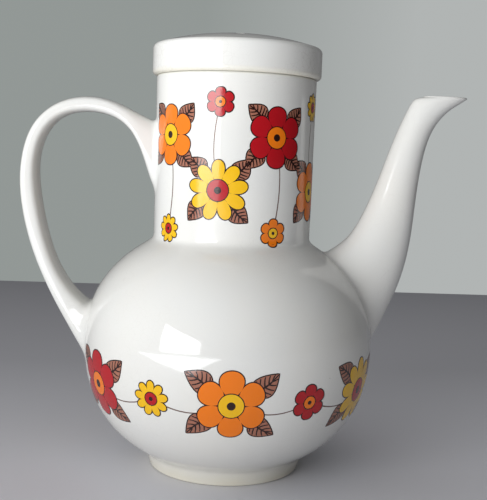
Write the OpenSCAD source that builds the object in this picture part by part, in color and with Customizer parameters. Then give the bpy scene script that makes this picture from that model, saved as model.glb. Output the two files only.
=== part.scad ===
// Coffee pot: a round bowl with a straight neck, a curved spout, a strap handle and a lift-off cap lid.
// Z is the pot's axis, the foot stands on z = 0, the spout points along +X and the handle along -X.

/* [Bowl] */
// Radius of the bowl at its widest
bowl_r = 74.9; // [72:0.1:77]
// Height of the widest level above the table
bowl_z = 66.4; // [65:0.1:68]
// Height of the shoulder curve above the widest level
shoulder_h = 60.7; // [59:0.1:62]
// Depth of the lower curve below the widest level
belly_h = 66.1; // [64.5:0.1:66.3]
// Thickness of the fired wall
wall = 4.2; // [3.6:0.1:4.8]

/* [Neck] */
// Outer radius of the neck where it leaves the shoulder
neck_base_r = 40.5; // [40:0.1:41]
// Outer radius of the neck at its rim
neck_rim_r = 41; // [40.6:0.1:41.2]
// Height of the neck's rim above the table
neck_z = 202.5; // [200:0.5:205]
// Radius of the rounded rim edge
rim_round = 1.4; // [0.6:0.1:1.8]

/* [Foot] */
// Outer radius of the foot ring
foot_r = 39.5; // [38.5:0.1:40.5]
// Widening of the foot ring from its edge up to the bowl
foot_flare = 2.1; // [0:0.1:2.6]
// Width of the foot ring across its wall
foot_w = 6.5; // [5:0.1:8]
// Height of the recessed base inside the ring
foot_recess = 4; // [3:0.1:4.5]

/* [Lid] */
// Outer radius of the cap
lid_r = 43.3; // [42.8:0.1:43.9]
// Height of the cap's upright side
lid_side_h = 15.8; // [14:0.1:18]
// Rise of the domed top above the side
lid_crown_h = 5.8; // [3:0.1:8]
// Thickness of the cap and its flange
lid_wall = 4; // [3.4:0.1:4.4]
// Depth of the flange below the rim
flange_h = 13; // [8:0.5:18]
// Gap between the flange and the neck's bore
flange_gap = 1; // [0.7:0.1:1.4]
// Diameter of the steam vent
vent_d = 4.5; // [4:0.1:6]
// Distance of the steam vent in front of the axis
vent_y = 25; // [18:0.5:26]

/* [Spout] */
// Reach of the spout's lip from the pot's axis
spout_reach = 120.3; // [118:0.1:123]
// Thickness of the spout's wall
spout_wall = 3.2; // [2.4:0.1:3.6]
// Thickness of the pouring lip
lip_wall = 2; // [1.6:0.1:2.4]
// Diameter of each strainer hole behind the spout
strainer_d = 6; // [5:0.1:7]

/* [Handle] */
// Reach of the handle from the pot's axis
handle_reach = 108.6; // [106.5:0.1:111.5]

/* [Transfers] */
// Thickness of the fired enamel
enamel = 0.1; // [0.08:0.01:0.2]
// Angle left clear on each side of the handle on the neck
transfer_clear = 17; // [16:1:30]

/* [Hidden] */

// Tints of the pieces
glaze_tint = [0.93, 0.93, 0.90];
neck_tint = [0.93, 0.45, 0.12];
belly_tint = [0.90, 0.62, 0.14];

// Roundness of the bowl above and below its widest level: 2 is an ellipse
upper_power = 2.12;
lower_power = 2.3;
// Sharpness of the corners where the neck and the foot meet the bowl
blend_power = 20;
foot_blend_power = 32;

turn_facets = 120;
meridian_steps = 40;
neck_steps = 8;
round_steps = 5;

// Radius of a bowl curve at height z
function arc_r(z, r, mid, up, down) = z >= mid
    ? r * pow(max(0, 1 - pow((z - mid) / up, upper_power)), 1 / upper_power)
    : r * pow(max(0, 1 - pow((mid - z) / down, lower_power)), 1 / lower_power);

// Two radii joined by a small fillet
function blended(a, b, sharp) = pow(pow(a, sharp) + pow(b, sharp), 1 / sharp);

// Neck radius at height z
function neck_r(z) = neck_base_r + (neck_rim_r - neck_base_r) * (z - shoulder_z) / (neck_z - shoulder_z);

// Outer radius of the foot ring at height z
function foot_side_r(z) = foot_r + foot_flare * (z - foot_edge) / 7;

// Outer and inner radius of the pot at height z
function outer_r(z) = z > bowl_z
    ? blended(arc_r(z, bowl_r, bowl_z, shoulder_h, belly_h), neck_r(z), blend_power)
    : blended(arc_r(z, bowl_r, bowl_z, shoulder_h, belly_h), min(foot_side_r(z), 44), foot_blend_power);
function inner_r(z) = z > bowl_z
    ? blended(arc_r(z, bowl_r - wall, bowl_z, shoulder_h - wall, bowl_z - floor_z), neck_bore_r, blend_power)
    : arc_r(z, bowl_r - wall, bowl_z, shoulder_h - wall, bowl_z - floor_z);

shoulder_z = bowl_z + shoulder_h * 0.86;
floor_z = foot_recess + wall;
neck_bore_r = neck_base_r - wall;

// Heights at which the bowl's outline is sampled, closer together near the foot and the neck
function spread(i, n) = (1 - cos(180 * i / n)) / 2;
foot_edge = 1.5;
bowl_low_z = foot_edge;
bowl_high_z = shoulder_z + 9;
bowl_heights = [for (i = [0:meridian_steps])
    bowl_low_z + (bowl_high_z - bowl_low_z) * spread(i, meridian_steps)];
neck_heights = [for (i = [1:neck_steps])
    bowl_high_z + (neck_z - rim_round - bowl_high_z) * i / neck_steps];
heights = concat(bowl_heights, neck_heights);

// Points of a quarter round about (x, z) from angle a to angle b
function round_edge(x, z, r, a, b) = [for (i = [0:round_steps])
    let (t = a + (b - a) * i / round_steps) [x + r * cos(t), z + r * sin(t)]];

outer_line = [for (z = heights) [outer_r(z), z]];
inner_line = [for (i = [0:meridian_steps])
    let (z = floor_z + (bowl_high_z - floor_z) * spread(i, meridian_steps))
    [max(0, inner_r(z)), z]];

// The casting's wall is drawn as three turned pieces that meet at level rings, at the belt and at the shoulder
belt_z = bowl_z;
function wall_ring(z) = [[outer_r(z), z], [inner_r(z), z]];
function outside(low, high) = [for (p = outer_line) if (p[1] > low + 0.2 && p[1] < high - 0.2) p];
function inside(low, high) = [for (i = [meridian_steps:-1:0])
    let (p = inner_line[i]) if (p[1] > low + 0.2 && p[1] < high - 0.2) p];

// Half sections: each goes up the outside and down the inside
lower_section = concat(
    [[0, foot_recess], [foot_r - foot_w, foot_recess], [foot_r - foot_w, 0.8], [foot_r - foot_w + 0.8, 0]],
    round_edge(foot_r - foot_edge, foot_edge, foot_edge, -90, -9),
    outside(0, belt_z),
    wall_ring(belt_z),
    inside(0, belt_z)
);
upper_section = concat(
    [wall_ring(belt_z)[0]],
    outside(belt_z, shoulder_z),
    wall_ring(shoulder_z),
    inside(belt_z, shoulder_z),
    [wall_ring(belt_z)[1]]
);
neck_section = concat(
    [wall_ring(shoulder_z)[0]],
    outside(shoulder_z, neck_z),
    round_edge(neck_rim_r - rim_round, neck_z - rim_round, rim_round, 9, 90),
    round_edge(neck_bore_r + rim_round, neck_z - rim_round, rim_round, 90, 180),
    inside(shoulder_z, neck_z),
    [wall_ring(shoulder_z)[1]]
);

// The solid outline of the pot, used to trim what is luted onto it
trim_section = concat([[0, foot_edge]], outer_line, [[0, heights[len(heights) - 1]]]);

module turned(section) {
    rotate_extrude($fn = turn_facets) polygon(section);
}

// Smooth curve through rows of numbers
function curve(p0, p1, p2, p3, t) = 0.5 * (
    2 * p1 + (p2 - p0) * t + (2 * p0 - 5 * p1 + 4 * p2 - p3) * t * t
    + (3 * p1 - p0 - 3 * p2 + p3) * t * t * t);
function row_at(rows, i) = rows[min(max(i, 0), len(rows) - 1)];
function smoothed(rows, n) = [for (i = [0:(len(rows) - 1) * n])
    let (k = min(floor(i / n), len(rows) - 2))
    curve(row_at(rows, k - 1), rows[k], rows[k + 1], row_at(rows, k + 2), i / n - k)];

// One oval ring between two points of the X-Z plane: row = [x1, z1, x2, z2, half width]
function ring(row, inset, sides, squareness) = [for (j = [0:sides - 1])
    let (
        c = cos(360 * j / sides),
        s = sin(360 * j / sides),
        mid = [row[0] + row[2], row[1] + row[3]] / 2,
        arm = [row[0] - row[2], row[1] - row[3]] / 2,
        shrink = 1 - inset / norm(arm),
        cc = sign(c) * pow(abs(c), 2 / squareness),
        ss = sign(s) * pow(abs(s), 2 / squareness)
    )
    [mid[0] + arm[0] * shrink * cc, (row[4] - inset) * ss, mid[1] + arm[1] * shrink * cc]];

// Triangles between ring i and the next one
function band(i, sides, first) = [for (j = [0:sides - 1])
    let (a = first + i * sides, k = (j + 1) % sides)
    each [[a + j, a + k, a + sides + k], [a + j, a + sides + k, a + sides + j]]];
function reversed(faces) = [for (f = faces) [f[2], f[1], f[0]]];

// Spout: upper edge x and z, lower edge x and z, half width
sx = spout_reach / 120.3;
spout_rows = [
    [36, 102, 62, 50, 19],
    [49.5, 113.5, 75.5 * sx, 68.5, 16.5],
    [59.8, 121.2, 83 * sx, 83.7, 14],
    [67.5, 132.8, 90 * sx, 102, 12],
    [72.2, 143.5, 94 * sx, 121.5, 10.4],
    [76.6, 155.5, 95.8 * sx, 142, 9.3],
    [81.3 * sx, 169.5, 98.2 * sx, 163, 8.4],
    [86.3 * sx, 182.7, 103.4 * sx, 180.5, 7.8],
    [90.6 * sx, 192.6, 111.8 * sx, 191, 7.4],
    [93.6 * sx, 196.4, 117.4 * sx, 194.8, 7.2],
    [97.3 * sx, 197.3, 120.3 * sx, 197, 7]
];
spout_parts = 3;
spout_sides = 32;
spout_line = smoothed(spout_rows, spout_parts);
spout_count = len(spout_line);

// Wall thickness along the spout, thinning to the lip
function spout_inset(i) = spout_wall + (lip_wall - spout_wall) * pow(i / (spout_count - 1), 3);

module spout_solid() {
    outside = [for (row = spout_line) each ring(row, 0, spout_sides, 2)];
    inside = [for (i = [0:spout_count - 1]) each ring(spout_line[i], spout_inset(i), spout_sides, 2)];
    n = len(outside);
    last = (spout_count - 1) * spout_sides;
    walls = concat(
        [for (i = [0:spout_count - 2]) each band(i, spout_sides, 0)],
        [for (i = [0:spout_count - 2]) each reversed(band(i, spout_sides, n))]
    );
    root_end = [for (j = [0:spout_sides - 1])
        let (k = (j + 1) % spout_sides)
        each [[j, n + k, k], [j, n + j, n + k]]];
    lip_end = [for (j = [0:spout_sides - 1])
        let (k = (j + 1) % spout_sides)
        each [[last + j, last + k, n + last + k], [last + j, n + last + k, n + last + j]]];
    polyhedron(concat(outside, inside), concat(walls, root_end, lip_end), convexity = 6);
}

// Handle: outer edge x and z, inner edge x and z, half width
hx = handle_reach / 108.6;
handle_rows = [
    [-28, 168, -28, 127, 11.5],
    [-41, 178.3, -41, 145, 10.5],
    [-49, 182.3, -46.8, 160.5, 10.4],
    [-58, 186.6, -54.2, 174.4, 10.6],
    [-67.9, 189.7, -65.6, 181.4, 10.9],
    [-79.9 * hx, 189.8, -78.9, 182.4, 11],
    [-91.7 * hx, 185.7, -88.9 * hx, 179.2, 11],
    [-102.4 * hx, 175.5, -96.2 * hx, 171.3, 11],
    [-108.1 * hx, 158.9, -100.2 * hx, 158.1, 11],
    [-108.6 * hx, 140.1, -99.7 * hx, 141.4, 11],
    [-104 * hx, 117.3, -95.4 * hx, 120.2, 11],
    [-97.7 * hx, 100.3, -89.4 * hx, 103.8, 11.1],
    [-90.2, 84.9, -81.1, 91.3, 11.7],
    [-83.4, 73, -75.5, 86, 13],
    [-76, 61, -71.5, 82.5, 15.5],
    [-64, 44, -58, 75, 19]
];
handle_parts = 3;
handle_sides = 28;
handle_line = smoothed(handle_rows, handle_parts);
handle_count = len(handle_line);
strap_squareness = 3.4;

module handle_solid() {
    skin = [for (row = handle_line) each ring(row, 0, handle_sides, strap_squareness)];
    first_cap = [[for (j = [0:handle_sides - 1]) handle_sides - 1 - j]];
    last_cap = [[for (j = [0:handle_sides - 1]) (handle_count - 1) * handle_sides + j]];
    sides = [for (i = [0:handle_count - 2]) each reversed(band(i, handle_sides, 0))];
    polyhedron(skin, concat(sides, first_cap, last_cap), convexity = 6);
}

// Strainer holes: one in the middle and six around it, square to the wall
strainer_z = 92;
strainer_pitch = 10.5;
strainer_tilt = 28;

module strainer_drills() {
    translate([arc_r(strainer_z, bowl_r, bowl_z, shoulder_h, belly_h), 0, strainer_z])
        rotate([0, 90 - strainer_tilt, 0])
            for (i = [0:6]) {
                a = 60 * i;
                reach = i < 6 ? strainer_pitch : 0;
                translate([reach * cos(a), reach * sin(a), -12])
                    cylinder(h = 24, d = strainer_d, $fn = 32);
            }
}

module bowl_lower() {
    color(glaze_tint)
        turned(lower_section);
}

module bowl_upper() {
    color(glaze_tint)
        difference() {
            turned(upper_section);
            strainer_drills();
        }
}

module neck() {
    color(glaze_tint)
        turned(neck_section);
}

module spout() {
    color(glaze_tint)
        difference() {
            spout_solid();
            turned(trim_section);
        }
}

module handle() {
    color(glaze_tint)
        difference() {
            handle_solid();
            turned(trim_section);
        }
}

// Lid: a cap with a domed top, an upright side, a seat on the neck's rim and a flange inside the bore
seat_z = neck_z;
lid_edge = 1.2;
crown_edge = 2.6;
flange_r = neck_bore_r - flange_gap;
crown_r = lid_r - crown_edge;
side_top_z = seat_z + lid_side_h;
function crown_z(r, drop) = side_top_z - drop + lid_crown_h * (1 - pow(r / crown_r, 2.2));
crown_steps = 10;

lid_section = concat(
    [for (i = [0:crown_steps]) let (r = crown_r * i / crown_steps) [r, crown_z(r, 0)]],
    round_edge(crown_r, side_top_z - crown_edge, crown_edge, 72, 0),
    round_edge(lid_r - lid_edge, seat_z + lid_edge, lid_edge, 0, -90),
    [[flange_r + 0.6, seat_z], [flange_r, seat_z - 0.6]],
    [[flange_r, seat_z - flange_h + 1.2], [flange_r - 1.2, seat_z - flange_h]],
    [[flange_r - lid_wall + 1, seat_z - flange_h], [flange_r - lid_wall, seat_z - flange_h + 1]],
    [[flange_r - lid_wall, seat_z + lid_wall - 1], [flange_r - lid_wall + 1, seat_z + lid_wall]],
    [[lid_r - lid_wall - 1, seat_z + lid_wall], [lid_r - lid_wall, seat_z + lid_wall + 1]],
    [[lid_r - lid_wall, side_top_z - lid_wall - 1], [lid_r - lid_wall - 1, side_top_z - lid_wall]],
    [for (i = [crown_steps - 1:-1:0]) let (r = crown_r * i / crown_steps) [r, crown_z(r, lid_wall)]]
);

module lid() {
    color(glaze_tint)
        difference() {
            turned(lid_section);
            translate([0, -vent_y, side_top_z - 8])
                cylinder(h = 20, d = vent_d, $fn = 32);
        }
}

// Transfers: thin bands of enamel that lie on the pot's own outline
neck_band = [for (z = heights) if (z > shoulder_z + 6 && z < neck_z - 2) z];
belly_band = [for (z = heights) if (z > 17 && z < 60) z];
function band_section(levels) = concat(
    [for (z = levels) [outer_r(z), z]],
    [for (i = [len(levels) - 1:-1:0]) [outer_r(levels[i]) + enamel, levels[i]]]
);

module neck_transfer() {
    color(neck_tint)
        rotate([0, 0, 180 + transfer_clear])
            rotate_extrude(angle = 360 - 2 * transfer_clear, $fn = turn_facets)
                polygon(band_section(neck_band));
}

module belly_transfer() {
    color(belly_tint)
        turned(band_section(belly_band));
}

bowl_lower();
bowl_upper();
neck();
spout();
handle();
lid();
neck_transfer();
belly_transfer();
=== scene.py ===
# The coffee pot in a plain studio. The bowl, spout, handle and lid are built in millimetres from the
# frame's own sizes, and the printed enamel is laid on the glaze as thin sheets, a level for each ink.
import math

import bpy
import numpy as np
from mathutils import Matrix, Vector


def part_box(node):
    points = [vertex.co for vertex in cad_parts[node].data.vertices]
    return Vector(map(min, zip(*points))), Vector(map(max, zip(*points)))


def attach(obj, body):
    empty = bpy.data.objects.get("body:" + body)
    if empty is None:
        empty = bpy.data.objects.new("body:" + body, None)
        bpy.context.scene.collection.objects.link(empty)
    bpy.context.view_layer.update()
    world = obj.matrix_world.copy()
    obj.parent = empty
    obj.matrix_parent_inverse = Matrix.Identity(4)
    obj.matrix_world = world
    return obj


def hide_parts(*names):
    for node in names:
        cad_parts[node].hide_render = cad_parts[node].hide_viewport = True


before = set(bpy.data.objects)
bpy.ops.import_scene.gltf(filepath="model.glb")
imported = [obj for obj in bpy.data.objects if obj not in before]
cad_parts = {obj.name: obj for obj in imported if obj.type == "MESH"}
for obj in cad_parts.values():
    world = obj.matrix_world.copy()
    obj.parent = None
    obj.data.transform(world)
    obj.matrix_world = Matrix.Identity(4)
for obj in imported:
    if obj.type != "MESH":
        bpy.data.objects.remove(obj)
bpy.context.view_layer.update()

MM = 0.001


def box_mm(node):
    """Lowest and highest corner of a CAD node, in millimetres."""
    low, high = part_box(node)
    return np.array(low) / MM, np.array(high) / MM


pot_low, pot_high = box_mm("bowl_upper")
neck_high = box_mm("neck")[1]
lid_low, lid_high = box_mm("lid")
spout_high = box_mm("spout")[1]

# Driving sizes in millimetres, as the CAD has them; the bowl is a hair smaller, for the print on it
BOWL_R = (pot_high[1] - pot_low[1]) / 2 - 0.15
BOWL_Z = 66.4
SHOULDER_H = 60.7
BELLY_H = 66.1
UPPER_POWER = 2.12
LOWER_POWER = 2.3
BLEND_POWER = 20
FOOT_BLEND_POWER = 32
WALL = 4.2
NECK_Z = neck_high[2]
NECK_BASE_R = 40.5
NECK_RIM_R = 41.0
BORE_R = NECK_BASE_R - WALL
SHOULDER_Z = BOWL_Z + 0.86 * SHOULDER_H
RIM_ROUND = 1.4
FOOT_R = 39.5
FOOT_FLARE = 2.1
FOOT_W = 6.5
FOOT_EDGE = 1.5
FOOT_RECESS = 4.0
FLOOR_Z = FOOT_RECESS + WALL
LID_R = (lid_high[1] - lid_low[1]) / 2


# ---------------------------------------------------------------- outline of the pot

def arc_r(z, r, up, down):
    """Radius of a bowl curve at height z: a superellipse above and another below the widest level."""
    z = np.asarray(z, float)
    above = np.clip((z - BOWL_Z) / up, 0, 1)
    below = np.clip((BOWL_Z - z) / down, 0, 1)
    high = r * (1 - above ** UPPER_POWER) ** (1 / UPPER_POWER)
    low = r * (1 - below ** LOWER_POWER) ** (1 / LOWER_POWER)
    return np.where(z >= BOWL_Z, high, low)


def blended(a, b, sharp):
    """Two radii joined by a small fillet."""
    return (a ** sharp + b ** sharp) ** (1 / sharp)


def outer_r(z):
    z = np.asarray(z, float)
    bowl = arc_r(z, BOWL_R, SHOULDER_H, BELLY_H)
    neck = NECK_BASE_R + (NECK_RIM_R - NECK_BASE_R) * (z - SHOULDER_Z) / (NECK_Z - SHOULDER_Z)
    foot = np.minimum(FOOT_R + FOOT_FLARE * (z - FOOT_EDGE) / 7, 44)
    return np.where(z > BOWL_Z, blended(bowl, neck, BLEND_POWER), blended(bowl, foot, FOOT_BLEND_POWER))


def inner_r(z):
    z = np.asarray(z, float)
    bowl = arc_r(z, BOWL_R - WALL, SHOULDER_H - WALL, BOWL_Z - FLOOR_Z)
    return np.where(z > BOWL_Z, blended(bowl, BORE_R, BLEND_POWER), bowl)


def gap(points):
    """How far points stand outside the pot, measured level, in millimetres."""
    return np.hypot(points[..., 0], points[..., 1]) - outer_r(points[..., 2])


def slope(z):
    step = 0.05
    return (outer_r(z + step) - outer_r(z - step)) / (2 * step)


def surface_gradient(points):
    r = np.hypot(points[..., 0], points[..., 1])
    return np.stack([points[..., 0] / r, points[..., 1] / r, -slope(points[..., 2])], -1)


def surface_normal(points):
    g = surface_gradient(points)
    return g / np.linalg.norm(g, axis=-1, keepdims=True)


def onto_pot(points):
    """Moves points near the pot onto its surface."""
    for _ in range(6):
        g = surface_gradient(points)
        points = points - (gap(points) / (g * g).sum(-1))[..., None] * g
    return points


# ---------------------------------------------------------------- mesh helpers

def mesh_object(name, points, faces, materials, inks=None, normals=None):
    """A smooth mesh from points in millimetres."""
    mesh = bpy.data.meshes.new(name)
    mesh.from_pydata((np.asarray(points) * MM).tolist(), [], faces)
    for material in materials:
        mesh.materials.append(material)
    if inks is not None:
        mesh.polygons.foreach_set("material_index", inks)
    mesh.polygons.foreach_set("use_smooth", [True] * len(mesh.polygons))
    mesh.update()
    if normals is not None:
        mesh.normals_split_custom_set_from_vertices(normals.tolist())
    piece = bpy.data.objects.new(name, mesh)
    bpy.context.scene.collection.objects.link(piece)
    return piece


def grid_faces(rows, sides, first=0, joined=False):
    """Quads of a tube whose rows are closed rings; joined also closes the last row to the first."""
    faces = []
    for i in range(rows if joined else rows - 1):
        a, b = first + i * sides, first + ((i + 1) % rows) * sides
        for j in range(sides):
            k = (j + 1) % sides
            faces.append((a + j, a + k, b + k, b + j))
    return faces


def round_edge(x, z, r, start, end, steps=8):
    """Points of an arc about (x, z), with the angles in degrees."""
    angles = np.radians(np.linspace(start, end, steps + 1))
    return [(x + r * math.cos(a), z + r * math.sin(a)) for a in angles]


def divided(line, longest):
    """A line with extra points, so that no stretch is longer than this."""
    out = [line[0]]
    for a, b in zip(line[:-1], line[1:]):
        n = max(1, math.ceil(math.dist(a, b) / longest))
        out += [tuple(np.array(a) + (np.array(b) - np.array(a)) * k / n) for k in range(1, n + 1)]
    return out


def turned(name, line, material, steps=224):
    """A solid of revolution from an outline that starts and ends on the axis."""
    angles = np.linspace(0, 2 * math.pi, steps, endpoint=False)
    middle = line[1:-1]
    points = [(0, 0, line[0][1])]
    for r, z in middle:
        points += [(r * math.cos(a), r * math.sin(a), z) for a in angles]
    points.append((0, 0, line[-1][1]))
    faces = [(f[0], f[1], f[2], f[3]) for f in grid_faces(len(middle), steps, 1)]
    last = 1 + (len(middle) - 1) * steps
    for j in range(steps):
        k = (j + 1) % steps
        faces.append((0, 1 + k, 1 + j))
        faces.append((len(points) - 1, last + j, last + k))
    return mesh_object(name, points, faces, [material])


def drilled(piece, drills):
    """Cuts the drills out of a piece and sharpens the new edges."""
    for drill in drills:
        cut = piece.modifiers.new("cut", "BOOLEAN")
        cut.operation, cut.solver, cut.object = "DIFFERENCE", "EXACT", drill
    graph = bpy.context.evaluated_depsgraph_get()
    mesh = bpy.data.meshes.new_from_object(piece.evaluated_get(graph))
    piece.modifiers.clear()
    piece.data = mesh
    mesh.set_sharp_from_angle(angle=math.radians(40))
    for drill in drills:
        bpy.data.objects.remove(drill)
    return piece


def drill_rod(centre, direction, diameter, length):
    """A rod to cut with: its middle and its direction in the frame, in millimetres."""
    sides = 40
    along = Vector(direction).normalized()
    turn = along.to_track_quat("Z", "Y").to_matrix()
    points = []
    for end in (-length / 2, length / 2):
        for j in range(sides):
            a = 2 * math.pi * j / sides
            p = turn @ Vector((diameter / 2 * math.cos(a), diameter / 2 * math.sin(a), end))
            points.append(tuple(Vector(centre) + p))
    faces = [f[::-1] for f in grid_faces(2, sides)][::1]
    faces = [f[::-1] for f in faces] + [tuple(range(sides))[::-1], tuple(range(sides, 2 * sides))]
    return mesh_object("drill", points, faces, [])


def natural_spline(t, values, at):
    """Smooth curve through rows of values at the times t."""
    n = len(t)
    h = np.diff(t)
    system, right = np.eye(n), np.zeros_like(values)
    for i in range(1, n - 1):
        system[i, i - 1:i + 2] = h[i - 1], 2 * (h[i - 1] + h[i]), h[i]
        right[i] = 6 * ((values[i + 1] - values[i]) / h[i] - (values[i] - values[i - 1]) / h[i - 1])
    bend = np.linalg.solve(system, right)
    k = np.clip(np.searchsorted(t, at, side="right") - 1, 0, n - 2)
    a, b = ((t[k + 1] - at) / h[k])[:, None], ((at - t[k]) / h[k])[:, None]
    hk = (h[k] ** 2 / 6)[:, None]
    return (a * values[k] + b * values[k + 1]
            + ((a ** 3 - a) * bend[k] + (b ** 3 - b) * bend[k + 1]) * hk)


def smoothed(rows, count):
    rows = np.array(rows, float)
    middles = (rows[:, 0:2] + rows[:, 2:4]) / 2
    t = np.concatenate([[0], np.cumsum(np.linalg.norm(np.diff(middles, axis=0), axis=1) ** 0.7)])
    return natural_spline(t, rows, np.linspace(0, t[-1], count))


def rings(rows, inset, sides, squareness):
    """Oval rings: a row is x and z of one edge, x and z of the other edge, and the half width."""
    angles = 2 * math.pi * np.arange(sides) / sides
    c, s = np.cos(angles), np.sin(angles)
    cc = np.sign(c) * np.abs(c) ** (2 / squareness)
    ss = np.sign(s) * np.abs(s) ** (2 / squareness)
    inset = np.broadcast_to(inset, len(rows))
    mid = (rows[:, 0:2] + rows[:, 2:4]) / 2
    arm = (rows[:, 0:2] - rows[:, 2:4]) / 2
    shrink = 1 - inset / np.linalg.norm(arm, axis=1)
    arm = arm * shrink[:, None]
    x = mid[:, 0:1] + arm[:, 0:1] * cc
    z = mid[:, 1:2] + arm[:, 1:2] * cc
    y = (rows[:, 4] - inset)[:, None] * ss
    return np.stack([x, y, z], -1)


def lengths_of(lines):
    steps = np.linalg.norm(np.diff(lines, axis=0), axis=2)
    return np.concatenate([np.zeros((1, lines.shape[1])), np.cumsum(steps, axis=0)])


def points_at(lines, lengths, wanted):
    """Point of each line at a length along it."""
    out = np.empty((lines.shape[1], 3))
    for j in range(lines.shape[1]):
        for axis in range(3):
            out[j, axis] = np.interp(wanted[j], lengths[:, j], lines[:, j, axis])
    return out


def crossing(lines, lengths, level=0.0):
    """Length at which each line leaves the pot, where its gap passes the level."""
    distance = gap(lines) - level
    out = np.empty(lines.shape[1])
    for j in range(lines.shape[1]):
        i = int(np.argmax(distance[:, j] > 0))
        share = distance[i - 1, j] / (distance[i - 1, j] - distance[i, j])
        out[j] = lengths[i - 1, j] + share * (lengths[i, j] - lengths[i - 1, j])
    return out


ROOT_DEPTH = 1.0


def luted_root(lines, lengths, up, out, steps=12):
    """Fillet rows from inside the wall, round onto the piece, and the length where each line goes on."""
    start = crossing(lines, lengths)
    seam = points_at(lines, lengths, start)
    begin = points_at(lines, lengths, start + up)
    normal = surface_normal(seam)
    along = np.roll(seam, -1, axis=0) - np.roll(seam, 1, axis=0)
    away = np.cross(along, normal)
    away /= np.linalg.norm(away, axis=1, keepdims=True)
    away *= np.sign((away * (seam - seam.mean(axis=0))).sum(axis=1, keepdims=True))
    edge = onto_pot(seam + away * np.reshape(out, (-1, 1)))
    rows = [edge - ROOT_DEPTH * surface_normal(edge)]
    for k in range(steps + 1):
        u = k / steps
        rows.append((1 - u) ** 2 * edge + 2 * u * (1 - u) * seam + u ** 2 * begin)
    return rows, start + up


def with_edge_normals(piece, edge_rows, sides):
    """Gives the rows that meet the pot the pot's own normals, so that the glaze runs across."""
    mesh = piece.data
    normals = np.array([v.normal for v in mesh.vertices])
    for row in edge_rows:
        at = slice(row * sides, (row + 1) * sides)
        points = np.array([v.co for v in mesh.vertices[at]]) / MM
        normals[at] = surface_normal(points)
    mesh.normals_split_custom_set_from_vertices(normals.tolist())


# ---------------------------------------------------------------- materials

def new_material(name, colour, roughness, level=0.5):
    material = bpy.data.materials.new(name)
    material.use_nodes = True
    shader = material.node_tree.nodes["Principled BSDF"]
    shader.inputs["Base Color"].default_value = (*colour, 1)
    shader.inputs["Roughness"].default_value = roughness
    shader.inputs["Specular IOR Level"].default_value = level
    shader.inputs["IOR"].default_value = 1.52
    return material, material.node_tree, shader


def add_node(tree, kind, **settings):
    node = tree.nodes.new(kind)
    for key, value in settings.items():
        if hasattr(node, key):
            setattr(node, key, value)
        else:
            node.inputs[key].default_value = value
    return node


def ramp(tree, source, stops):
    """A colour ramp on a value: stops are (place, brightness or colour)."""
    node = tree.nodes.new("ShaderNodeValToRGB")
    elements = node.color_ramp.elements
    while len(elements) < len(stops):
        elements.new(0.5)
    for element, (place, tone) in zip(elements, stops):
        element.position = place
        element.color = (tone, tone, tone, 1) if isinstance(tone, (int, float)) else (*tone, 1)
    tree.links.new(source, node.inputs["Fac"])
    return node.outputs["Color"]


def mixed(tree, factor, a, b):
    """Mixes colour a with colour b by a factor; each is a socket or a plain colour."""
    node = tree.nodes.new("ShaderNodeMix")
    node.data_type = "RGBA"
    for socket, value in ((node.inputs[0], factor), (node.inputs[6], a), (node.inputs[7], b)):
        if isinstance(value, bpy.types.NodeSocket):
            tree.links.new(value, socket)
        elif isinstance(value, tuple):
            socket.default_value = (*value, 1)
        else:
            socket.default_value = value
    return node.outputs[2]


def maths(tree, operation, a, b=0.0):
    node = tree.nodes.new("ShaderNodeMath")
    node.operation = operation
    node.use_clamp = True
    for socket, value in zip(node.inputs, (a, b)):
        if isinstance(value, bpy.types.NodeSocket):
            tree.links.new(value, socket)
        else:
            socket.default_value = value
    return node.outputs[0]


def noise(tree, where, scale, detail=2.0, rough=0.5):
    node = add_node(tree, "ShaderNodeTexNoise", Scale=scale, Detail=detail, Roughness=rough)
    tree.links.new(where, node.inputs["Vector"])
    return node.outputs["Fac"]


def cells(tree, where, scale, feature):
    node = add_node(tree, "ShaderNodeTexVoronoi", feature=feature, Scale=scale)
    tree.links.new(where, node.inputs["Vector"])
    return node


GLAZE = (0.80, 0.795, 0.755)
GLAZE_COOL = (0.785, 0.79, 0.765)
GLAZE_CREAM = (0.80, 0.76, 0.63)
SPECK = (0.10, 0.07, 0.05)
CRAZE = (0.50, 0.47, 0.42)


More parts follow.
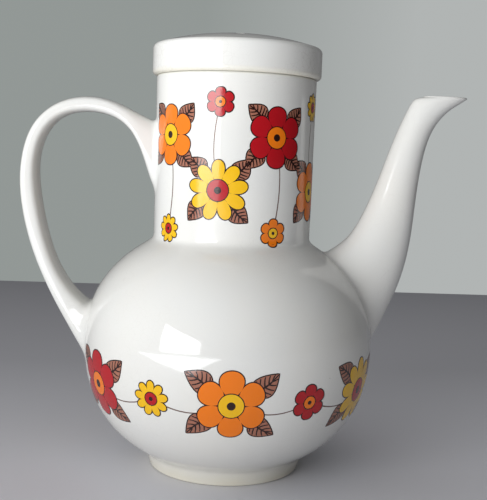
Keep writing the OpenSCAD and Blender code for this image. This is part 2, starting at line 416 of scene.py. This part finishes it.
def glaze_material(name, crazing, cream_below, cream_above):
    """White earthenware glaze: faint clouding, iron specks, crazing, and cream where it runs thin."""
    material, tree, shader = new_material(name, GLAZE, 0.07)
    where = tree.nodes.new("ShaderNodeTexCoord").outputs["Object"]
    height = tree.nodes.new("ShaderNodeSeparateXYZ")
    tree.links.new(where, height.inputs[0])
    cloud = ramp(tree, noise(tree, where, 22, 3), [(0.35, 0.0), (0.65, 1.0)])
    colour = mixed(tree, cloud, GLAZE, GLAZE_COOL)

    thin = tree.nodes.new("ShaderNodeMapRange")
    thin.inputs["From Min"].default_value = cream_above * MM
    thin.inputs["From Max"].default_value = cream_below * MM
    tree.links.new(height.outputs["Z"], thin.inputs["Value"])
    patches = ramp(tree, noise(tree, where, 45, 2), [(0.2, 0.45), (0.8, 1.0)])
    drift = maths(tree, "MULTIPLY", thin.outputs[0], patches)
    colour = mixed(tree, drift, colour, GLAZE_CREAM)

    lines = cells(tree, where, 330, "DISTANCE_TO_EDGE").outputs["Distance"]
    craze = ramp(tree, lines, [(0.0, 1.0), (0.035, 0.0)])
    patchy = ramp(tree, noise(tree, where, 28, 2), [(0.42, 0.0), (0.62, 1.0)])
    craze = maths(tree, "MULTIPLY", maths(tree, "MULTIPLY", craze, patchy), crazing)
    colour = mixed(tree, craze, colour, CRAZE)

    spots = cells(tree, where, 62, "F1")
    dot = ramp(tree, spots.outputs["Distance"], [(0.018, 1.0), (0.03, 0.0)])
    chosen = tree.nodes.new("ShaderNodeSeparateColor")
    tree.links.new(spots.outputs["Color"], chosen.inputs[0])
    rare = ramp(tree, chosen.outputs[0], [(0.86, 0.0), (0.87, 0.75)])
    colour = mixed(tree, maths(tree, "MULTIPLY", dot, rare), colour, SPECK)
    tree.links.new(colour, shader.inputs["Base Color"])

    gloss = tree.nodes.new("ShaderNodeMapRange")
    gloss.inputs["To Min"].default_value = 0.035
    gloss.inputs["To Max"].default_value = 0.11
    tree.links.new(noise(tree, where, 70, 4), gloss.inputs["Value"])
    tree.links.new(gloss.outputs[0], shader.inputs["Roughness"])

    waves = noise(tree, where, 34, 1.5)
    ripples = maths(tree, "MULTIPLY", noise(tree, where, 420, 2), 0.035)
    relief = maths(tree, "ADD", waves, ripples)
    bump = add_node(tree, "ShaderNodeBump", Strength=0.16, Distance=0.0011)
    tree.links.new(relief, bump.inputs["Height"])
    tree.links.new(bump.outputs[0], shader.inputs["Normal"])
    return material


def enamel_material(name, colour):
    """Printed enamel: one flat ink with the fine grain of the screen it was printed through."""
    material, tree, shader = new_material(name, colour, 0.12)
    where = tree.nodes.new("ShaderNodeTexCoord").outputs["Object"]
    gloss = tree.nodes.new("ShaderNodeMapRange")
    gloss.inputs["To Min"].default_value = 0.07
    gloss.inputs["To Max"].default_value = 0.19
    tree.links.new(noise(tree, where, 260, 3), gloss.inputs["Value"])
    tree.links.new(gloss.outputs[0], shader.inputs["Roughness"])
    bump = add_node(tree, "ShaderNodeBump", Strength=0.12, Distance=0.0002)
    tree.links.new(noise(tree, where, 900, 2), bump.inputs["Height"])
    tree.links.new(bump.outputs[0], shader.inputs["Normal"])
    return material


pot_glaze = glaze_material("pot_glaze", 0.10, 2, 12)
lid_glaze = glaze_material("lid_glaze", 0.42, NECK_Z, NECK_Z + 3)
INKS = ("dark", "red", "orange", "yellow", "leaf", "stem")
ink_materials = [
    enamel_material("enamel_dark", (0.022, 0.007, 0.006)),
    enamel_material("enamel_red", (0.44, 0.008, 0.014)),
    enamel_material("enamel_orange", (0.86, 0.20, 0.008)),
    enamel_material("enamel_yellow", (0.86, 0.50, 0.010)),
    enamel_material("enamel_leaf_brown", (0.36, 0.15, 0.10)),
    enamel_material("enamel_stem_grey", (0.16, 0.10, 0.085)),
]


# ---------------------------------------------------------------- bowl, neck and foot

def pot_line():
    """The pot's half section, from the middle of the base round the outside to the floor inside."""
    ring_in = FOOT_R - FOOT_W
    base = [(0, FOOT_RECESS), (ring_in - 1.2, FOOT_RECESS)]
    base += round_edge(ring_in - 1.2, FOOT_RECESS - 1.2, 1.2, 90, 0, 4)
    base += [(ring_in, 0.8), (ring_in + 0.25, 0.25), (ring_in + 0.8, 0)]
    base = divided(base, 4)
    foot = divided([base[-1], (FOOT_R - FOOT_EDGE - 0.4, 0)], 1.5)[1:]
    foot += round_edge(FOOT_R - FOOT_EDGE, FOOT_EDGE, FOOT_EDGE, -90, -12, 10)
    heights = np.concatenate([
        np.linspace(FOOT_EDGE, 14, 26),
        np.linspace(14, SHOULDER_Z - 10, 74)[1:],
        np.linspace(SHOULDER_Z - 10, SHOULDER_Z + 12, 40)[1:],
        np.linspace(SHOULDER_Z + 12, NECK_Z - RIM_ROUND - 0.5, 34)[1:],
    ])
    outside = [(float(outer_r(z)), float(z)) for z in heights]
    rim = round_edge(NECK_RIM_R - RIM_ROUND, NECK_Z - RIM_ROUND, RIM_ROUND, 6, 90)
    rim += [(BORE_R + RIM_ROUND + 0.6, NECK_Z)]
    rim += round_edge(BORE_R + RIM_ROUND, NECK_Z - RIM_ROUND, RIM_ROUND, 90, 180)
    deep = np.concatenate([
        np.linspace(NECK_Z - RIM_ROUND - 0.8, SHOULDER_Z + 12, 16),
        np.linspace(SHOULDER_Z + 12, SHOULDER_Z - 16, 26)[1:],
        np.linspace(SHOULDER_Z - 16, FLOOR_Z + 6, 34)[1:],
        FLOOR_Z + 6 * (np.linspace(1, 0, 12)[1:]) ** 2,
    ])
    inside = [(float(inner_r(z)), float(z)) for z in deep]
    return base + foot + outside + rim + inside


STRAINER_Z = 92.0
STRAINER_PITCH = 10.5
STRAINER_TILT = math.radians(28)
STRAINER_D = 6.0


def strainer_drills():
    """One hole in the middle and six round it, square to the wall behind the spout."""
    out = Vector((math.cos(STRAINER_TILT), 0, math.sin(STRAINER_TILT)))
    side, up = Vector((0, 1, 0)), Vector((-math.sin(STRAINER_TILT), 0, math.cos(STRAINER_TILT)))
    centre = Vector((float(arc_r(STRAINER_Z, BOWL_R, SHOULDER_H, BELLY_H)), 0, STRAINER_Z))
    drills = [drill_rod(centre, out, STRAINER_D, 24)]
    for i in range(6):
        a = math.radians(60 * i)
        spot = centre + STRAINER_PITCH * (math.cos(a) * up + math.sin(a) * side)
        drills.append(drill_rod(spot, out, STRAINER_D, 24))
    return drills


pot = drilled(turned("pot_glazed", pot_line(), pot_glaze), strainer_drills())
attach(pot, "pot")
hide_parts("bowl_lower", "bowl_upper", "neck")


# ---------------------------------------------------------------- spout

SPOUT_ROWS = [
    (36, 102, 62, 50, 19),
    (49.5, 113.5, 75.5, 68.5, 16.5),
    (59.8, 121.2, 83, 83.7, 14),
    (67.5, 132.8, 90, 102, 12),
    (72.2, 143.5, 94, 121.5, 10.4),
    (76.6, 155.5, 95.8, 142, 9.3),
    (81.3, 169.5, 98.2, 163, 8.4),
    (86.3, 182.7, 103.4, 180.5, 7.8),
    (90.6, 192.2, 111.8, 190.6, 7.4),
    (93.6, 195.8, 117.4, 194.4, 7.2),
    (97.3, spout_high[2] - 0.7, spout_high[0], spout_high[2] - 0.9, 7),
]
SPOUT_WALL, LIP_WALL = 3.2, 1.9
SPOUT_SIDES = 96


def spout_piece():
    rows = smoothed(SPOUT_ROWS, 240)
    share = np.linspace(0, 1, len(rows))
    outside = rings(rows, 0.0, SPOUT_SIDES, 2.0)
    inside = rings(rows, SPOUT_WALL + (LIP_WALL - SPOUT_WALL) * share ** 3, SPOUT_SIDES, 2.0)
    lengths = lengths_of(outside)
    fillet, begin = luted_root(outside, lengths, 3.2, 2.4)
    grid = list(fillet)
    for u in np.linspace(0, 1, 130)[1:]:
        grid.append(points_at(outside, lengths, begin + u * (lengths[-1] - begin)))
    rim_out, rim_in = outside[-1], inside[-1]
    middle, arm = (rim_out + rim_in) / 2, (rim_out - rim_in) / 2
    rise = np.array([0, 0, 0.7])
    for a in np.linspace(0, math.pi, 11)[1:]:
        grid.append(middle + arm * math.cos(a) + rise * math.sin(a))
    inner_lengths = lengths_of(inside)
    deepest = crossing(inside, inner_lengths, -1.6)
    for u in np.linspace(0, 1, 70)[1:]:
        grid.append(points_at(inside, inner_lengths, inner_lengths[-1] + u * (deepest - inner_lengths[-1])))
    points = np.concatenate(grid)
    faces = [f[::-1] for f in grid_faces(len(grid), SPOUT_SIDES, joined=True)]
    piece = mesh_object("spout_glazed", points, faces, [pot_glaze])
    with_edge_normals(piece, [1], SPOUT_SIDES)
    return piece


spout = spout_piece()
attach(spout, "pot")
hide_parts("spout")


# ---------------------------------------------------------------- handle

HANDLE_ROWS = [
    (-28, 168, -28, 127, 11.5),
    (-41, 178.3, -41, 145, 10.5),
    (-49, 182.3, -46.8, 160.5, 10.4),
    (-58, 186.6, -54.2, 174.4, 10.6),
    (-67.9, 189.7, -65.6, 181.4, 10.9),
    (-79.9, 189.8, -78.9, 182.4, 11),
    (-91.7, 185.7, -88.9, 179.2, 11),
    (-102.4, 175.5, -96.2, 171.3, 11),
    (-108.1, 158.9, -100.2, 158.1, 11),
    (-108.6, 140.1, -99.7, 141.4, 11),
    (-104, 117.3, -95.4, 120.2, 11),
    (-97.7, 100.3, -89.4, 103.8, 11.1),
    (-90.2, 84.9, -81.1, 91.3, 11.7),
    (-83.4, 73, -75.5, 86, 13),
    (-76, 61, -71.5, 82.5, 15.5),
    (-64, 44, -58, 75, 19),
]
HANDLE_SIDES = 88


def handle_piece():
    rows = smoothed(HANDLE_ROWS, 420)
    skin = rings(rows, 0.0, HANDLE_SIDES, 3.4)
    lengths = lengths_of(skin)
    back = skin[::-1]
    back_lengths = lengths_of(back)
    top_root, begin = luted_root(skin, lengths, 4.5, 3.5)
    low_root, end = luted_root(back, back_lengths, 6, 4.5)
    end = lengths[-1] - end
    grid = list(top_root)
    for u in np.linspace(0, 1, 230)[1:-1]:
        grid.append(points_at(skin, lengths, begin + u * (end - begin)))
    grid += low_root[::-1]
    points = np.concatenate(grid)
    n, count = len(points), len(grid)
    caps = []
    for ring in (grid[0], grid[-1]):
        centre = onto_pot(ring.mean(axis=0)[None])[0]
        caps.append(centre - 2.2 * surface_normal(centre[None])[0])
    points = np.concatenate([points, caps])
    faces = grid_faces(count, HANDLE_SIDES)
    last = (count - 1) * HANDLE_SIDES
    for j in range(HANDLE_SIDES):
        k = (j + 1) % HANDLE_SIDES
        faces.append((n, k, j))
        faces.append((n + 1, last + j, last + k))
    piece = mesh_object("handle_glazed", points, faces, [pot_glaze])
    with_edge_normals(piece, [1, count - 2], HANDLE_SIDES)
    return piece


handle = handle_piece()
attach(handle, "pot")
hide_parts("handle")


# ---------------------------------------------------------------- lid

LID_SIDE_H = 15.8
LID_CROWN_H = lid_high[2] - NECK_Z - LID_SIDE_H
LID_WALL = 4.0
CROWN_EDGE = 2.6
LID_EDGE = 2.0
FLANGE_H = 13.0
FLANGE_R = BORE_R - 1.0
VENT_D, VENT_Y = 4.5, 25.0


def lid_line():
    """The lid's half section, from the top of the crown round the outside to its hollow underside."""
    side_top = NECK_Z + LID_SIDE_H
    crown_r = LID_R - CROWN_EDGE

    def crown(drop, count):
        share = np.linspace(0, 1, count)
        return [(crown_r * s, side_top - drop + LID_CROWN_H * (1 - s ** 2.2)) for s in share]

    line = crown(0, 40)
    line += round_edge(crown_r, side_top - CROWN_EDGE, CROWN_EDGE, 66, 2, 10)
    line += divided([(LID_R, side_top - CROWN_EDGE - 0.3), (LID_R, NECK_Z + LID_EDGE + 0.4)], 1.2)
    line += round_edge(LID_R - LID_EDGE, NECK_Z + LID_EDGE, LID_EDGE, 0, -90, 10)
    line += divided([(LID_R - LID_EDGE - 0.4, NECK_Z), (FLANGE_R + 0.9, NECK_Z)], 1.5)
    line += round_edge(FLANGE_R + 0.6, NECK_Z - 0.6, 0.6, 90, 180, 4)
    line += divided([(FLANGE_R, NECK_Z - 1.0), (FLANGE_R, NECK_Z - FLANGE_H + 1.6)], 2)
    line += round_edge(FLANGE_R - 1.2, NECK_Z - FLANGE_H + 1.2, 1.2, 0, -90, 6)
    inner = FLANGE_R - LID_WALL
    line += round_edge(inner + 1.2, NECK_Z - FLANGE_H + 1.2, 1.2, -90, -180, 6)
    line += divided([(inner, NECK_Z - FLANGE_H + 1.6), (inner, NECK_Z + LID_WALL - 1.4)], 2)
    line += round_edge(inner + 1, NECK_Z + LID_WALL - 1, 1, 180, 90, 5)
    line += round_edge(LID_R - LID_WALL - 1, NECK_Z + LID_WALL + 1, 1, -90, 0, 5)
    line += round_edge(LID_R - LID_WALL - 1, side_top - LID_WALL - 1, 1, 0, 90, 5)
    return line + crown(LID_WALL, 30)[-2::-1]


lid = turned("lid_glazed", lid_line()[::-1], lid_glaze)
lid = drilled(lid, [drill_rod((0, -VENT_Y, NECK_Z + LID_SIDE_H), (0, 0, 1), VENT_D, 24)])
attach(lid, "lid")
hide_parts("lid")


# ---------------------------------------------------------------- printing

LEVEL = 0.016
SPACING = 1.4
_heights = np.linspace(2, NECK_Z - 1.3, 2400)
_meridian = np.concatenate([[0], np.cumsum(np.hypot(np.diff(_heights), np.diff(outer_r(_heights))))])


def turn_points(points, degrees):
    a = math.radians(degrees)
    c, s = math.cos(a), math.sin(a)
    return np.asarray(points, float) @ np.array([[c, s], [-s, c]])


def dense(line, longest=1.3, closed=False):
    """A 2-D line with extra points."""
    line = [tuple(p) for p in line]
    if closed:
        return np.array(divided(line + [line[0]], longest)[:-1])
    return np.array(divided(line, longest))


def grown(outline, by):
    """A closed outline moved outwards."""
    ahead, behind = np.roll(outline, -1, axis=0), np.roll(outline, 1, axis=0)
    along = ahead - behind
    along /= np.maximum(np.linalg.norm(along, axis=1, keepdims=True), 1e-9)
    area = (outline[:, 0] * ahead[:, 1] - ahead[:, 0] * outline[:, 1]).sum()
    out = np.stack([along[:, 1], -along[:, 0]], 1) * np.sign(area)
    return outline + by * out


class Print:
    """A transfer: flat shapes placed by azimuth and height, then wrapped on the pot at their levels."""

    def __init__(self):
        self.spots, self.levels, self.faces, self.inks = [], [], [], []
        self.size = 0

    def add(self, azimuth, height, points, faces, level, ink):
        """Flat points in millimetres about a place on the pot."""
        start = np.interp(height, _heights, _meridian)
        z = np.interp(start + points[:, 1], _meridian, _heights)
        angle = azimuth + np.degrees(points[:, 0] / outer_r(z))
        self.spots.append(np.stack([angle, z], 1))
        self.levels.append(np.full(len(points), float(level)))
        self.faces += [tuple(i + self.size for i in f) for f in faces]
        self.inks += [INKS.index(ink)] * len(faces)
        self.size += len(points)

    def piece(self, name, edges=None):
        """The finished sheet; edges are the azimuths between which the transfer was cut."""
        spots, levels = np.concatenate(self.spots), np.concatenate(self.levels)
        faces, inks = self.faces, self.inks
        if edges:
            inside = (spots[:, 0] > edges[0]) & (spots[:, 0] < edges[1])
            kept = [i for i, f in enumerate(faces) if any(inside[v] for v in f)]
            faces, inks = [faces[i] for i in kept], [inks[i] for i in kept]
            spots[:, 0] = np.clip(spots[:, 0], *edges)
        angle, z = np.radians(spots[:, 0]), spots[:, 1]
        r = outer_r(z)
        points = np.stack([r * np.cos(angle), r * np.sin(angle), z], 1)
        normal = surface_normal(points)
        points = points + normal * (LEVEL * (levels + 1))[:, None]
        used = np.unique(np.concatenate([np.array(f) for f in faces]))
        renumber = np.full(len(points), -1)
        renumber[used] = np.arange(len(used))
        faces = [tuple(int(renumber[v]) for v in f) for f in faces]
        return mesh_object(name, points[used], faces, ink_materials, inks, normal[used])


def flat_step(start, end):
    """Millimetres right and up the wall from one place (azimuth, height) to another."""
    r = outer_r(np.array([(start[1] + end[1]) / 2]))[0]
    up = np.interp(end[1], _heights, _meridian) - np.interp(start[1], _heights, _meridian)
    return math.radians(end[0] - start[0]) * r, up


class Pen:
    """Draws one motif: its place on the pot, its turn and its level."""

    def __init__(self, sheet, place, turn=0.0, base=0.0):
        self.sheet, self.place, self.turn, self.base = sheet, place, turn, base

    def fill(self, outline, level, ink, turn=0.0, centre=None):
        outline = dense(outline, closed=True)
        centre = outline.mean(axis=0) if centre is None else np.array(centre, float)
        reach = np.linalg.norm(outline - centre, axis=1).max()
        rows, n = max(1, math.ceil(reach / SPACING)), len(outline)
        points = [centre[None]] + [centre + (outline - centre) * k / rows for k in range(1, rows + 1)]
        faces = [(0, 1 + j, 1 + (j + 1) % n) for j in range(n)] + grid_faces(rows, n, 1)
        area = (outline[:, 0] * np.roll(outline[:, 1], -1) - np.roll(outline[:, 0], -1) * outline[:, 1]).sum()
        if area > 0:
            faces = faces[:n] + [f[::-1] for f in faces[n:]]
        else:
            faces = [f[::-1] for f in faces[:n]] + faces[n:]
        self.put(np.concatenate(points), faces, level, ink, turn)

    def edged(self, outline, level, ink, edge, turn=0.0):
        """A filled shape with a dark outline under it."""
        outline = dense(outline, closed=True)
        self.fill(grown(outline, edge), level, "dark", turn)
        self.fill(outline, level + 1, ink, turn)

    def stroke(self, path, widths, level, ink, turn=0.0):
        path = np.asarray(path, float)
        widths = np.broadcast_to(widths, len(path)).astype(float)
        along = np.concatenate([[0], np.cumsum(np.linalg.norm(np.diff(path, axis=0), axis=1))])
        steps = np.linspace(0, along[-1], max(3, math.ceil(along[-1] / 0.9)) + 1)
        line = np.stack([np.interp(steps, along, path[:, 0]), np.interp(steps, along, path[:, 1])], 1)
        half = np.interp(steps, along, widths)[:, None] / 2
        aim = np.gradient(line, axis=0)
        aim /= np.maximum(np.linalg.norm(aim, axis=1, keepdims=True), 1e-9)
        side = np.stack([-aim[:, 1], aim[:, 0]], 1)
        points = np.concatenate([line + side * half, line - side * half])
        n = len(line)
        faces = [(i, n + i, n + i + 1, i + 1) for i in range(n - 1)]
        self.put(points, faces, level, ink, turn)

    def put(self, points, faces, level, ink, turn):
        self.sheet.add(*self.place, turn_points(points, self.turn + turn), faces, self.base + level, ink)


def disc(r, n=None, centre=(0, 0)):
    n = n or max(12, math.ceil(2 * math.pi * r / 0.9))
    a = np.linspace(0, 2 * math.pi, n, endpoint=False)
    return np.stack([centre[0] + r * np.cos(a), centre[1] + r * np.sin(a)], 1)


def oval(low, high, half, fat=0.2):
    """A petal that points up and is widest towards its outer end."""
    a = np.linspace(0, 2 * math.pi, 40, endpoint=False)
    x = half * np.sin(a) * (1 - fat * np.cos(a))
    return np.stack([x, (low + high) / 2 - (high - low) / 2 * np.cos(a)], 1)


def ring_of(count, start=0.0):
    return [start + 360.0 * k / count for k in range(count)]


# Levels of the flowers start above those of the leaves and stems
STEM_BASE, LEAF_BASE, FLOWER_BASE = 0, 1, 5
PETAL_EDGE, EYE_EDGE, LEAF_EDGE = 0.54, 0.48, 0.6


def flower(sheet, place, r, petals, ink, eye):
    """A plain daisy: one ring of round petals about an eye with a dark dot."""
    pen = Pen(sheet, place, 0, FLOWER_BASE)
    half = 0.56 * r * math.tan(math.pi / petals)
    for a in ring_of(petals):
        pen.edged(oval(0.26 * r, 0.97 * r, half), 0, ink, PETAL_EDGE, a)
    pen.edged(disc(0.34 * r), 2, eye, EYE_EDGE)
    pen.fill(disc(0.12 * r), 4, "dark")


def leaf(sheet, start, end, width, bend=0.1, veins=5):
    """A veined leaf from its stalk to its tip."""
    across, up = flat_step(start, end)
    length = math.hypot(across, up)
    pen = Pen(sheet, start, math.degrees(math.atan2(-across, up)), LEAF_BASE)

    def rib(at):
        at = np.asarray(at, float)
        return np.stack([bend * length * np.sin(math.pi * at) * (1 - 0.3 * at), length * at], -1)

    def half(at):
        at = np.asarray(at, float)
        return 0.5 * width * at ** 0.6 * (1 - at) ** 1.1 / 0.3317

    u = np.linspace(0, 1, 34) ** 1.1
    side = np.stack([half(u), 0 * u], 1)
    outline = np.concatenate([rib(u) + side, (rib(u) - side)[-2:0:-1]])
    centre = rib(0.4)
    pen.fill(grown(dense(outline, closed=True), LEAF_EDGE), 0, "dark", centre=centre)
    pen.fill(outline, 1, "leaf", centre=centre)
    pen.stroke(rib(np.linspace(0.0, 0.97, 14)), np.linspace(1.15, 0.6, 14), 2, "dark")
    for k in range(veins):
        at = 0.08 + 0.62 * k / (veins - 1)
        for sign in (1, -1):
            reach = min(0.95, at + 0.19)
            tip = rib(reach) + np.array([sign * float(half(reach)) * 0.93, 0])
            foot = rib(at)
            bow = (foot + tip) / 2 + np.array([sign * 0.02 * length, -0.035 * length])
            s = np.linspace(0, 1, 7)[:, None]
            pen.stroke((1 - s) ** 2 * foot + 2 * s * (1 - s) * bow + s ** 2 * tip,
                       np.linspace(0.8, 0.52, 7), 2, "dark")


def bowed(start, end, curl):
    """A bent path between two places, and the turn it is drawn at."""
    across, up = flat_step(start, end)
    length = math.hypot(across, up)
    u = np.linspace(0, 1, 12)
    path = np.stack([curl * length * np.sin(math.pi * u), length * u], 1)
    return path, math.degrees(math.atan2(-across, up))


def stem(sheet, start, end, curl):
    """A thin bent stem."""
    path, turn = bowed(start, end, curl)
    Pen(sheet, start, turn, STEM_BASE).stroke(path, np.linspace(0.72, 0.5, 12), 0, "stem")


def leaves_about(sheet, place, r, turns, length, width):
    """Leaves that point outwards from under a flower; each turn is 0 up and 90 left."""
    mm_per_degree = math.radians(1) * outer_r(np.array([place[1]]))[0]
    for turn in turns:
        across, up = -math.sin(math.radians(turn)), math.cos(math.radians(turn))

        def spot(reach):
            return place[0] + reach * across / mm_per_degree, place[1] + reach * up

        leaf(sheet, spot(0.7 * r), spot(r + length), width)


# Petals, petal ink and eye ink of the flowers, taken in turn
KINDS = [(6, "orange", "yellow"), (9, "yellow", "red"), (6, "red", "orange")]

NECK_COLUMNS, NECK_STEP, NECK_FIRST = 8, 40, -142.5
HIGH_Z, LOW_Z, TOP_Z, FOOT_Z = 172, 146, 188, 126
NECK_R, NECK_SMALL_R = 15, 7
BOWL_COLUMNS, BOWL_FIRST, GARLAND_Z = 6, -90, 50
BOWL_R_LARGE, BOWL_R_SMALL = 17, 9


def draw_neck(sheet):
    """Columns of one large and one small flower, high and low in turn."""
    for k in range(NECK_COLUMNS):
        azimuth = NECK_FIRST + NECK_STEP * k
        large_z, small_z = (LOW_Z, TOP_Z) if k % 2 else (HIGH_Z, FOOT_Z)
        stem(sheet, (azimuth, small_z), (azimuth, large_z), 0.06)
        leaves_about(sheet, (azimuth, large_z), NECK_R, (45, 135, -135, -45), 6, 9)
        flower(sheet, (azimuth, large_z), NECK_R, *KINDS[k % 3])
        flower(sheet, (azimuth, small_z), NECK_SMALL_R, *KINDS[(k + 1) % 3])


def draw_bowl(sheet):
    """A garland of large flowers with small ones halfway between them."""
    step = 360 / BOWL_COLUMNS
    for k in range(BOWL_COLUMNS):
        azimuth = BOWL_FIRST + step * k
        between = (azimuth + step / 2, GARLAND_Z)
        stem(sheet, (azimuth, GARLAND_Z), between, 0.12)
        stem(sheet, between, (azimuth + step, GARLAND_Z), 0.12)
        leaves_about(sheet, (azimuth, GARLAND_Z), BOWL_R_LARGE, (55, 125, -125, -55), 9, 10)
        flower(sheet, (azimuth, GARLAND_Z), BOWL_R_LARGE, *KINDS[k % 3])
        flower(sheet, between, BOWL_R_SMALL, *KINDS[(k + 2) % 3])


NECK_EDGES = (-162.5, 158)

neck_sheet, bowl_sheet = Print(), Print()
draw_neck(neck_sheet)
draw_bowl(bowl_sheet)

neck_print = neck_sheet.piece("neck_print", NECK_EDGES)
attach(neck_print, "pot")
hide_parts("neck_transfer")

bowl_print = bowl_sheet.piece("bowl_print")
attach(bowl_print, "pot")
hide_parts("belly_transfer")


# ---------------------------------------------------------------- camera, floor and light

LENS = 66.4
CAMERA_BACK, CAMERA_UP = 0.4811, 0.1615
ORBIT, YAW, PITCH, ROLL = math.radians(2), 0.0136, 0.0986, 0.0365


def make_camera():
    data = bpy.data.cameras.new("camera")
    data.lens, data.sensor_width = LENS, 36
    forward = Vector((math.sin(YAW) * math.cos(PITCH), math.cos(YAW) * math.cos(PITCH), -math.sin(PITCH)))
    level = Vector((math.cos(YAW), -math.sin(YAW), 0))
    upright = level.cross(forward)
    right = math.cos(ROLL) * level + math.sin(ROLL) * upright
    up = -math.sin(ROLL) * level + math.cos(ROLL) * upright
    turn = Matrix.Rotation(-ORBIT, 4, "Z")
    basis = Matrix((right, up, -forward)).transposed().to_4x4()
    camera = bpy.data.objects.new("camera", data)
    camera.matrix_world = turn @ Matrix.Translation((0, -CAMERA_BACK, CAMERA_UP)) @ basis
    bpy.context.scene.collection.objects.link(camera)
    bpy.context.scene.camera = camera


def area_light(name, centre, target, width, height, radiance, colour):
    """A soft rectangle of light with the given radiance, facing its target."""
    data = bpy.data.lights.new(name, "AREA")
    data.shape, data.size, data.size_y = "RECTANGLE", width, height
    data.energy = radiance * math.pi * width * height
    data.color = colour
    lamp = bpy.data.objects.new(name, data)
    lamp.visible_camera = False
    aim = Vector(target) - Vector(centre)
    lamp.location = centre
    lamp.rotation_mode = "QUATERNION"
    lamp.rotation_quaternion = aim.to_track_quat("-Z", "Y")
    bpy.context.scene.collection.objects.link(lamp)


# The floor's colour from its near part to its far edge: painted light and shade, pale near the pot and darker
# towards the back where the window's light falls off
FLOOR_PAINTED_LIGHT_TONES = [
    (0.0, (0.84, 0.84, 0.89)), (0.3, (0.74, 0.74, 0.78)),
    (0.55, (0.48, 0.48, 0.51)), (1.0, (0.32, 0.32, 0.345)),
]


def make_floor():
    near, far, half = -3.0, 0.668, 3.0
    corners = [(-half, near, 0), (half, near, 0), (half, far, 0), (-half, far, 0)]
    material, tree, shader = new_material("floor", (0.8, 0.8, 0.84), 0.6, 0.25)
    depth = tree.nodes.new("ShaderNodeSeparateXYZ")
    tree.links.new(tree.nodes.new("ShaderNodeTexCoord").outputs["Object"], depth.inputs[0])
    share = tree.nodes.new("ShaderNodeMapRange")
    share.inputs["From Min"].default_value = -0.3
    share.inputs["From Max"].default_value = far
    tree.links.new(depth.outputs["Y"], share.inputs["Value"])
    # Painted light and shade: the base colour runs from pale near the pot to dark at the far edge
    tree.links.new(ramp(tree, share.outputs[0], FLOOR_PAINTED_LIGHT_TONES), shader.inputs["Base Color"])
    mesh_object("floor", np.array(corners) / MM, [(0, 1, 2, 3)], [material])


def lobe(tree, direction, towards, low, high, strength):
    """A soft patch of sky: its strength fades in between two cosines of the angle from its middle."""
    dot = tree.nodes.new("ShaderNodeVectorMath")
    dot.operation = "DOT_PRODUCT"
    tree.links.new(direction, dot.inputs[0])
    dot.inputs[1].default_value = Vector(towards).normalized()
    tone = tree.nodes.new("ShaderNodeMapRange")
    tone.interpolation_type = "SMOOTHSTEP"
    tone.inputs["From Min"].default_value = low
    tone.inputs["From Max"].default_value = high
    tone.inputs["To Max"].default_value = strength
    tree.links.new(dot.outputs["Value"], tone.inputs["Value"])
    return tone.outputs[0]


def make_world():
    """A dim studio with a soft pale wall behind and a soft light above the window's side."""
    world = bpy.data.worlds.new("studio")
    bpy.context.scene.world = world
    world.use_nodes = True
    tree = world.node_tree
    tree.nodes.clear()
    direction = tree.nodes.new("ShaderNodeTexCoord").outputs["Generated"]
    total = None
    for part in SKY:
        patch = lobe(tree, direction, *part)
        if total is None:
            total = patch
        else:
            add = tree.nodes.new("ShaderNodeMath")
            tree.links.new(total, add.inputs[0])
            tree.links.new(patch, add.inputs[1])
            total = add.outputs[0]
    base = tree.nodes.new("ShaderNodeMath")
    tree.links.new(total, base.inputs[0])
    base.inputs[1].default_value = SKY_BASE
    sky = tree.nodes.new("ShaderNodeBackground")
    sky.inputs["Color"].default_value = (0.985, 0.99, 1.0, 1)
    tree.links.new(base.outputs[0], sky.inputs["Strength"])
    seen = tree.nodes.new("ShaderNodeBackground")
    across = tree.nodes.new("ShaderNodeSeparateXYZ")
    tree.links.new(direction, across.inputs[0])
    tint = ramp(tree, across.outputs["X"], [(0.0, BACK_LEFT), (0.22, BACK_RIGHT)])
    tree.links.new(tint, seen.inputs["Color"])
    path = tree.nodes.new("ShaderNodeLightPath")
    both = tree.nodes.new("ShaderNodeMixShader")
    tree.links.new(path.outputs["Is Camera Ray"], both.inputs[0])
    tree.links.new(sky.outputs[0], both.inputs[1])
    tree.links.new(seen.outputs[0], both.inputs[2])
    out = tree.nodes.new("ShaderNodeOutputWorld")
    tree.links.new(both.outputs[0], out.inputs["Surface"])


# Soft patches of sky: direction, the cosines where each begins and is full, and its strength
SKY_BASE = 0.02
SKY = [
    ((-0.75, -0.35, 0.55), 0.0, 1.0, 0.38),
    ((-0.515, 0.857, 0.10), 0.0, 0.3, 0.12),
    ((0.0, -0.25, 1.0), 0.2, 1.0, 0.21),
]
BACK_LEFT, BACK_RIGHT = (0.29, 0.315, 0.305), (0.44, 0.46, 0.455)


def make_lights():
    """A long window on the left, brighter in its upper part, and its glow from the floor in front."""
    area_light("window", (-1.2, -1.9, 0.49), (0, -1.9, 0.49), 2.0, 0.46, 8.5, (1.0, 1.0, 1.0))
    area_light("window_low", (-1.2, -1.9, 0.145), (0, -1.9, 0.145), 2.0, 0.23, 6.0, (1.0, 1.0, 1.0))
    area_light("glow", (-0.42, -0.66, 0.004), (-0.42, -0.66, 1), 0.60, 0.80, 6.0, (0.97, 0.98, 1.0))


make_camera()
make_floor()
make_world()
make_lights()
bpy.context.scene.view_settings.view_transform = "Standard"
